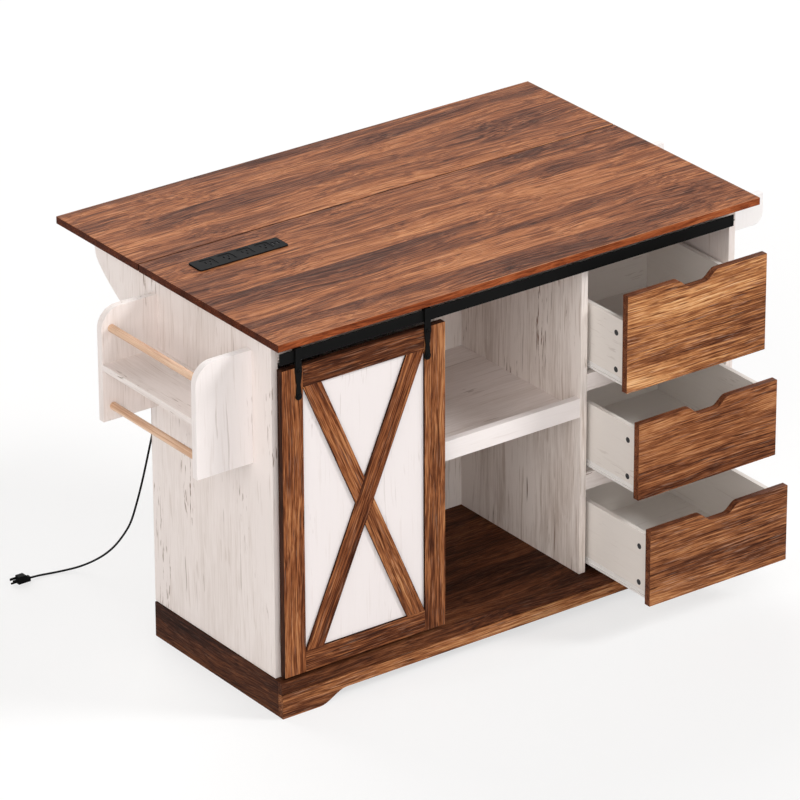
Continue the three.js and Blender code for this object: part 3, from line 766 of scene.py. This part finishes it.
# ---- what repeats
def new_tree(name, **sizes):
    """A node group for one kind of repeated piece, with named inputs for its sizes and
    its finish. It gives the inputs, a function that adds a node and one that ends it."""
    tree = bpy.data.node_groups.new(name, "GeometryNodeTree")
    for label, kind in dict(Geometry="Geometry", **sizes, Finish="Material").items():
        tree.interface.new_socket(label, in_out="INPUT", socket_type="NodeSocket" + kind)
    tree.interface.new_socket("Geometry", in_out="OUTPUT", socket_type="NodeSocketGeometry")
    given = tree.nodes.new("NodeGroupInput").outputs

    def step(kind, sockets=(), out=0, **fields):
        kind = kind if "Node" in kind else "GeometryNode" + kind
        return add_node(tree, kind, sockets, out, **fields)

    def close(geometry):
        """Makes the instances real, puts the finish on and ends the tree."""
        real = step("RealizeInstances", {0: geometry})
        coated = step("SetMaterial", {"Geometry": real, "Material": given["Finish"]})
        step("NodeGroupOutput", {"Geometry": coated}, None)
        return tree

    return given, step, close


def on_points(given, step, item, **more):
    """The item on each point, turned so that its Z looks where the point faces."""
    facing = step("InputNamedAttribute", {"Name": "facing"}, data_type="FLOAT_VECTOR")
    turn = step("FunctionNodeAlignRotationToVector", {"Vector": facing}, axis="Z")
    sockets = {"Points": given["Geometry"], "Instance": item, "Rotation": turn, **more}
    return step("InstanceOnPoints", sockets)


HEAD_STEPS = ((0.50, 0.985), (0.30, 0.86), (0.20, 0.66))  # share of the height, new width
RECESS_SHARE = 0.62  # of the head's flat top


def fixing_head_tree():
    """A low domed head with a round driver recess on each point, facing as it says."""
    given, step, close = new_tree(
        "fixing_heads", Head_radius="Float", Head_height="Float", Sides="Int", Recess="Float")

    def drawn(mesh, top, size, share, width=None):
        """The mesh with its top drawn out by a share of a size and narrowed to a width."""
        offset = size and step("ShaderNodeMath", {0: size, 1: share}, operation="MULTIPLY")
        picked = {"Selection": top} if top else {}
        sockets = {"Mesh": mesh, "Offset Scale": offset or 0.0, "Individual": False, **picked}
        mesh, top, _ = step("ExtrudeMesh", sockets, None).outputs
        if width:
            mesh = step("ScaleElements", {"Geometry": mesh, "Selection": top, "Scale": width})
        return mesh, top

    disc = step("MeshCircle", {"Vertices": given["Sides"], "Radius": given["Head_radius"]},
                fill_type="NGON")
    mesh, top = disc, None
    for share, width in HEAD_STEPS:
        mesh, top = drawn(mesh, top, given["Head_height"], share, width)
    mesh, top = drawn(mesh, top, None, 0.0, RECESS_SHARE)
    sunk, _ = drawn(mesh, top, given["Recess"], -1.0)
    foot = step("FlipFaces", {"Mesh": disc})
    both = step("JoinGeometry", {"Geometry": [sunk, foot]})
    head = step("MergeByDistance", {"Geometry": both, "Distance": 1e-6})
    return close(on_points(given, step, head))


def rib_tree():
    """Rings that follow one another along a line of points, each as wide as its point says."""
    given, step, close = new_tree("grip_ribs", Rib_radius="Float", Sides="Int")
    circle = step("CurvePrimitiveCircle", {"Resolution": given["Sides"], "Radius": 1.0})
    width = step("InputNamedAttribute", {"Name": "width"}, data_type="FLOAT")
    rings = on_points(given, step, circle, Scale=width)
    real = step("RealizeInstances", {0: rings})
    section = step("CurvePrimitiveCircle", {"Resolution": 8, "Radius": given["Rib_radius"]})
    return close(step("CurveToMesh", {"Curve": real, "Profile Curve": section}))


TREES = {"fixing_heads": fixing_head_tree(), "grip_ribs": rib_tree()}


def grown(name, kind, points, settings, body, slot):
    """Pieces that a tree puts on points; a point is (place, facing) or (place, facing, width)."""
    places, *columns = zip(*points)
    mesh = mesh_of(name, places)
    for label, column in zip(("facing", "width"), columns):
        write_points(mesh, label, column)
    piece = new_piece(name, mesh)
    modifier = piece.modifiers.new(kind, "NODES")
    modifier.node_group = TREES[kind]
    settings["Finish"] = finishes[slot]
    for item in TREES[kind].interface.items_tree:
        if item.item_type == "SOCKET" and item.in_out == "INPUT" and item.name in settings:
            modifier[item.identifier] = settings[item.name]
    applied(piece)
    smooth(piece.data, 40)
    return settle(piece, body)


def heads(name, points, radius, height, body, slot, sides=20, recess=0.4):
    """Fixing heads at points in metres; radius, height and recess are in mm."""
    settings = {"Head_radius": radius * MM, "Head_height": height * MM, "Sides": sides,
                "Recess": recess * MM}
    return grown(name, "fixing_heads", points, settings, body, slot)


# ---- door hardware
HANGER_BOLTS = (843, 781)  # heights of the two bolts through a strap
for side in SIDES:
    low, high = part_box("door_hanger_" + side)
    middle = (low.x + high.x) / 2
    heads(f"door_hanger_{side}_bolts",
          [((middle, low.y, z * MM), (0, -1, 0)) for z in HANGER_BOLTS],
          5.2, 2.8, "door", "black_steel", sides=24, recess=1.0)

low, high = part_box("door_rail")
middle = (low + high) / 2
heads("door_rail_end_stops",
      [((x, middle.y, middle.z), (way, 0, 0)) for x, way in ((low.x, -1), (high.x, 1))],
      1.45, 3.4, "cabinet", "black_steel", sides=16, recess=0.2)

ROLLER_BORE = 3.08 * MM
for side in SIDES:
    low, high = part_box("door_roller_" + side)
    radius, half = (high.z - low.z) / 2, (high.y - low.y) / 2
    # One half of the wheel from its bore out: hub, dished web, rim and shallow groove.
    web = half - 0.5 * MM
    profile = [(ROLLER_BORE, half), (ROLLER_BORE + 2.2 * MM, half),
               (ROLLER_BORE + 2.6 * MM, web), (radius - 1.7 * MM, web),
               (radius - 1.2 * MM, half), (radius, half), (radius, half - 0.66 * MM),
               (radius - 0.9 * MM, 0.44 * MM)]
    profile = [(r, -h) for r, h in profile] + profile[::-1]
    Shells().turned(profile, (low + high) / 2, (0, 1, 0), 48, closed=True).piece(
        f"door_roller_{side}_wheel", "roller_" + side, "nylon", ["door_roller_" + side])

# ---- drawers
WALL = 12 * MM
BOARD_EASE = 0.8 * MM
BOTTOM_RISE = 8 * MM  # of the bottom above the sides' lower edge
BOTTOM_THICK = 5 * MM
GROOVE = 5 * MM  # in the sides, which hold the bottom
CAP_PLACES = (36 * MM, 6 * MM)  # behind the front, before the back
CAP_HEIGHTS = (31 * MM, 122.5 * MM)
SHEET = 1.2 * MM  # steel of the slides and hinges
CHANNEL_REACH = 9.6 * MM  # how far the channel's lips stand in from the bay's wall
CHANNEL_LIP = 1.8 * MM
CHANNEL = ((0, 0), (CHANNEL_REACH, 0), (CHANNEL_REACH, CHANNEL_LIP),
           (CHANNEL_REACH - SHEET, CHANNEL_LIP), (CHANNEL_REACH - SHEET, SHEET),
           (SHEET, SHEET))  # its lower half
SLIDE = mm((0, 0), (1.2, 0), (1.2, 6.4), (4.4, 6.4), (4.4, 7.6), (1.2, 7.6), (1.2, 17),
           (0, 17))  # the drawer's angle, with the flange that runs in the channel
SLIDE_ENDS = (1.5 * MM, 4 * MM)
SLIDE_SCREWS = (0.10, 0.42, 0.70, 0.94)  # shares of the slide's length
SLIDE_SCREW_HEIGHT = 12.2 * MM


def section(name, body, start, way, rows, ends, stands_for=()):
    """A steel section along Y, of rows of (how far out from start, height)."""
    outline = [(z, start + way * out) for out, z in rows]
    Shells().extruded(outline, "Y", *ends).piece(name, body, "white_steel", stands_for)


for n in (1, 2, 3):
    body = f"drawer{n}"
    low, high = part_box(body + "_box")
    left, right, back = low.x + WALL, high.x - WALL, high.y - WALL
    bottom = low.z + BOTTOM_RISE
    box = Shells()
    box.block(low, (left, high.y, high.z), BOARD_EASE, "Y")
    box.block((right, low.y, low.z), high, BOARD_EASE, "Y")
    box.block((left, back, low.z), (right, high.y, high.z - 0.3 * MM), BOARD_EASE)
    box.block((left - GROOVE, low.y + 0.5 * MM, bottom),
              (right + GROOVE, back + GROOVE, bottom + BOTTOM_THICK), 0.3 * MM)
    box.piece(body + "_box_boards", body, "drawer_white", [body + "_box"])
    walls = ((low.x, -1), (high.x, 1))
    caps = [((x, y, low.z + z), (away, 0, 0)) for x, away in walls
            for y in (low.y + CAP_PLACES[0], high.y - CAP_PLACES[1]) for z in CAP_HEIGHTS]
    heads(body + "_screw_caps", caps, 7.0, 0.6, body, "grey_plastic", sides=28, recess=0.35)

    start, end = low.y + SLIDE_ENDS[0], high.y - SLIDE_ENDS[1]
    for side, (x, away) in zip(SIDES, walls):
        runner_low, runner_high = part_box(f"{body}_runner_{side}")
        foot, top = runner_low.z, runner_high.z
        rows = [(out, foot + rise) for out, rise in CHANNEL]
        rows += [(out, top - rise) for out, rise in reversed(CHANNEL)]
        bay_wall = runner_low.x if side == "left" else runner_high.x
        section(f"{body}_channel_{side}", "cabinet", bay_wall, -away, rows,
                (runner_low.y, runner_high.y), [f"{body}_runner_{side}"])
        angle = [(out, foot + rise) for out, rise in SLIDE]
        section(f"{body}_slide_{side}", body, x, away, angle, (start, end))
        heads(f"{body}_slide_screws_{side}",
              [((x + away * SHEET, start + share * (end - start), foot + SLIDE_SCREW_HEIGHT),
                (away, 0, 0)) for share in SLIDE_SCREWS],
              3.0, 0.5, body, "white_steel", sides=16, recess=0.3)

# ---- power strip
SOCKETS = (128, 178, 228, 278)  # mm along the worktop
PORTS = (303, 315)
LIP = 5 * MM
LIP_THICK = 3 * MM
ARC_STEPS = 6  # to a quarter of a circle


def round_outline(x0, x1, y0, y1, radius):
    points = []
    for cx, cy, start in ((x1 - radius, y0 + radius, -90), (x1 - radius, y1 - radius, 0),
                          (x0 + radius, y1 - radius, 90), (x0 + radius, y0 + radius, 180)):
        for k in range(ARC_STEPS + 1):
            turn = radians(start + 90 * k / ARC_STEPS)
            points.append((cx + radius * cos(turn), cy + radius * sin(turn)))
    return points


def cut_out(piece, shells):
    """Takes the shells out of the piece."""
    mesh = outward_mesh("cutter", shells.points, shells.faces)
    cutter = added("cutter", mesh)
    modifier = piece.modifiers.new("cut", "BOOLEAN")
    modifier.operation, modifier.solver, modifier.object = "DIFFERENCE", "EXACT", cutter
    applied(piece)
    bpy.data.objects.remove(cutter)
    bpy.data.meshes.remove(mesh)


low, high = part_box("power_strip")
middle, top = (low.y + high.y) / 2, high.z
foot, past = top - LIP_THICK, top + 1 * MM  # past is where the cutters end
shells = Shells().extruded(round_outline(low.x, high.x, low.y, high.y, LIP), "Z", foot, top)
mesh = outward_mesh("power_strip_face", shells.points, shells.faces)
face = new_piece("power_strip_face", mesh, "black_plastic")
wells, slots, tongues = Shells(), Shells(), Shells()


def well(x, wide, long, radius, depth):
    """A round-cornered hollow; its half width and half length and the rest in mm."""
    outline = round_outline(x - wide * MM, x + wide * MM, middle - long * MM,
                            middle + long * MM, radius * MM)
    wells.extruded(outline, "Z", top - depth * MM, past)


for x in (CORNER.x + x * MM for x in SOCKETS):
    well(x, 17, 18, 5, 0.9)
    for aside, half in ((-6.35, 4.6), (6.35, 3.9)):
        cx = x + aside * MM
        slots.block((cx - 1.15 * MM, middle + (4.5 - half) * MM, foot - 1 * MM),
                    (cx + 1.15 * MM, middle + (4.5 + half) * MM, past), 0.05 * MM)
    slots.turned(mm((2.6, -5), (2.6, 5)), (x, middle - 8 * MM, top), (0, 0, 1), 20)
for x in (CORNER.x + x * MM for x in PORTS):
    well(x, 3.1, 7, 1.2, 2.2)
    tongues.block((x - 0.9 * MM, middle - 5.6 * MM, top - 2.4 * MM),
                  (x + 0.9 * MM, middle + 5.6 * MM, top - 0.5 * MM), 0.2 * MM)
cut_out(face, wells)
cut_out(face, slots)
ease(face, 0.5 * MM)
settle(face, "cabinet", ["power_strip"])
Shells().block((low.x, low.y + LIP, low.z), (high.x, high.y - LIP, foot - 0.2 * MM),
               1.5 * MM).piece("power_strip_body", "cabinet", "black_plastic")
tongues.piece("power_strip_port_tongues", "cabinet", "grey_plastic")

# ---- cord fittings
RELIEF_RIBS = 7
RELIEF_REACH = 25 * MM  # of the ribs up the strain relief
low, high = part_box("cord_relief")
middle = (low + high) / 2
ribs = []
for k in range(RELIEF_RIBS):
    share = (k + 0.6) / (RELIEF_RIBS + 0.6)
    ribs.append(((middle.x, middle.y, low.z + share * RELIEF_REACH), (0, 0, 1),
                 (3.3 + 2.7 * share) * MM))
grown("cord_relief_ribs", "grip_ribs", ribs, {"Rib_radius": 0.75 * MM, "Sides": 24},
      "cabinet", "black_plastic")

# ---- leaf and support hinges
HINGE_LEAF = 22 * MM
KNUCKLE = 2.2 * MM  # between the cabinet's plate and the leaf's flap
FLAP_THICK = 2 * MM
for side in SIDES:
    low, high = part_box("leaf_hinge_" + side)
    flap, under = high.y + KNUCKLE, high.z - FLAP_THICK
    plate = Shells().block((low.x, flap, under),
                           (high.x, flap + HINGE_LEAF, high.z - 0.1 * MM), 0.3 * MM)
    plate.piece(f"leaf_hinge_{side}_flap", "leaf", "black_steel")
    xs = (low.x + 9 * MM, (low.x + high.x) / 2, high.x - 9 * MM)
    for part, body, y in (("flap", "leaf", flap + HINGE_LEAF * 0.55),
                          ("plate", "cabinet", low.y + HINGE_LEAF * 0.40)):
        heads(f"leaf_hinge_{side}_{part}_screws", [((x, y, under), (0, 0, -1)) for x in xs],
              3.4, 0.7, body, "bright_steel")

SUPPORT_HINGES = (775, 862)  # heights of the two hinges of a leaf support
HINGE_HALF = 19  # half a hinge's height
HINGE_SCREWS = (-11, 11)
for side, inward in (("left", 1), ("right", -1)):
    low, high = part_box("leaf_support_" + side)
    inner = high.x if side == "left" else low.x
    outer = inner + inward * SHEET
    x0, x1 = sorted((inner, outer))
    # Each part of a hinge, between two distances behind the joint, and where its screws are.
    parts = {"fixed": ("cabinet", -15.5, -0.4, -8.5), "moving": ("support_" + side, 2.6, 22, 13)}
    pins = Shells()
    for z in SUPPORT_HINGES:
        pins.turned(mm((2.1, -HINGE_HALF), (2.1, HINGE_HALF)), (inner, low.y, z * MM),
                    (0, 0, 1), 20)
    for part, (body, near, far, _) in parts.items():
        plates = Shells()
        for z in SUPPORT_HINGES:
            plates.block((x0, low.y + near * MM, (z - HINGE_HALF) * MM),
                         (x1, low.y + far * MM, (z + HINGE_HALF) * MM), 0.25 * MM)
        plates.piece(f"support_hinge_{side}_{part}_plates", body, "bright_steel")
    pins.piece(f"support_hinge_{side}_pins", "cabinet", "bright_steel")
    for part, (body, _, _, behind) in parts.items():
        heads(f"support_hinge_{side}_{part}_screws",
              [((outer, low.y + behind * MM, (z + dz) * MM), (inward, 0, 0))
               for z in SUPPORT_HINGES for dz in HINGE_SCREWS], 2.8, 0.5, body, "bright_steel")

# ---- back panel
BACK_SCREW_STEP = 0.155
EDGE = 9 * MM
INNER_ROWS = (441.5, 870)  # mm along the worktop: the middle divider and the drawers' one
INNER_STEP = 0.16
low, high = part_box("back_panel")
outlet = CORNER + Vector((128, 0, 736)) * MM
Shells().turned(mm((11.2, -1.5), (13, -1.5), (13, 0), (16.5, 0), (17, 0.6), (16.2, 1.8),
                   (13.5, 2.2), (11.2, 1.6)),
                (outlet.x, high.y, outlet.z), (0, 1, 0), 40, closed=True).piece(
    "cable_outlet_ring", "cabinet", "black_plastic")
across, upright = (round(size / BACK_SCREW_STEP) for size in (high.x - low.x, high.z - low.z))
places = [(low.x + EDGE + k * (high.x - low.x - 2 * EDGE) / across, z)
          for z in (low.z + EDGE, high.z - EDGE) for k in range(across + 1)]
places += [(x, low.z + EDGE + k * (high.z - low.z - 2 * EDGE) / upright)
           for x in (low.x + EDGE, high.x - EDGE) for k in range(1, upright)]
places += [(CORNER.x + x * MM, low.z + k * INNER_STEP) for x in INNER_ROWS for k in range(1, 5)]
heads("back_panel_screws", [((x, high.y, z), (0, 1, 0)) for x, z in places], 3.2, 0.7,
      "cabinet", "bright_steel", sides=16, recess=0.5)

# ---- shelf pegs
PEG_INSET = 40 * MM
PEG_DROP = 2.6 * MM  # of a peg's middle below the shelf
low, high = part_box("shelf_left")
pegs = Shells()
for x, way in ((low.x, 1), (high.x, -1)):
    for y in (low.y + PEG_INSET, high.y - PEG_INSET):
        place = (x, y, low.z - PEG_DROP)
        pegs.turned(mm((2.5, 0), (2.5, 8), (2.1, 9)), place, (way, 0, 0), 16)
        pegs.turned(mm((4.5, 0), (4.5, 0.9)), place, (way, 0, 0), 20)
pegs.piece("shelf_left_pegs", "cabinet", "bright_steel")

# ---- floor and light
FLOOR_REACH = 14.0


def make_floor():
    """Matt grey for what lights the unit, and near white with its shadow where it is seen."""
    f = Finish("pale_floor")
    f.tree.nodes.remove(f.surface)
    matt = f.step("BsdfDiffuse", {"Color": (0.80, 0.80, 0.80, 1.0)})
    part = f.step("BsdfDiffuse", {"Color": (0.34, 0.34, 0.34, 1.0)})
    glow = f.step("Emission", {"Color": (1, 1, 1, 1), "Strength": 0.64})
    shown = f.step("AddShader", {0: part, 1: glow})
    surface = f.step("MixShader", {0: looked_at(f.tree), 1: matt, 2: shown})
    put(f.tree, f.tree.nodes["Material Output"].inputs["Surface"], surface)
    corners = ((-1, -1), (1, -1), (1, 1), (-1, 1))
    mesh = mesh_of("floor", [(x * FLOOR_REACH, y * FLOOR_REACH, 0) for x, y in corners],
                   [(0, 1, 2, 3)])
    mesh.materials.append(f.material)
    added("floor", mesh)


def make_world(strength):
    """A soft warm light all round, and plain white where it is seen."""
    world = bpy.data.worlds.new("studio")
    bpy.context.scene.world = world
    world.use_nodes = True
    tree = world.node_tree
    tree.nodes.clear()
    lit = add_node(tree, "ShaderNodeBackground",
                   {"Color": (1.0, 0.985, 0.97, 1.0), "Strength": strength})
    white = add_node(tree, "ShaderNodeBackground", {"Color": (1, 1, 1, 1), "Strength": 1.0})
    shown = add_node(tree, "ShaderNodeMixShader", {0: looked_at(tree), 1: lit, 2: white})
    add_node(tree, "ShaderNodeOutputWorld", {"Surface": shown}, None)


def make_sun(name, towards, share, spread, colour=(1, 1, 1)):
    """A far soft lamp; share 1 alone lights a face that looks at it to its written colour."""
    data = bpy.data.lights.new(name, "SUN")
    data.energy, data.angle, data.color = share * pi, radians(spread), colour
    added(name, data).rotation_euler = (-Vector(towards)).to_track_quat("-Z", "Y").to_euler()


make_floor()
make_world(0.25)
make_sun("right_lamp", (0.64, -0.50, 0.58), 0.53, 16)
make_sun("side_lamp", (0.93, -0.24, 0.30), 0.10, 5)
make_sun("front_lamp", (-0.20, -0.92, 0.33), 0.15, 40)
make_sun("left_lamp", (-0.75, -0.48, 0.46), 0.38, 45, (1.0, 0.955, 0.92))
make_sun("rear_lamp", (0.15, 0.90, 0.42), 0.74, 60, (1.0, 0.99, 0.98))

bpy.context.scene.view_settings.view_transform = "Standard"
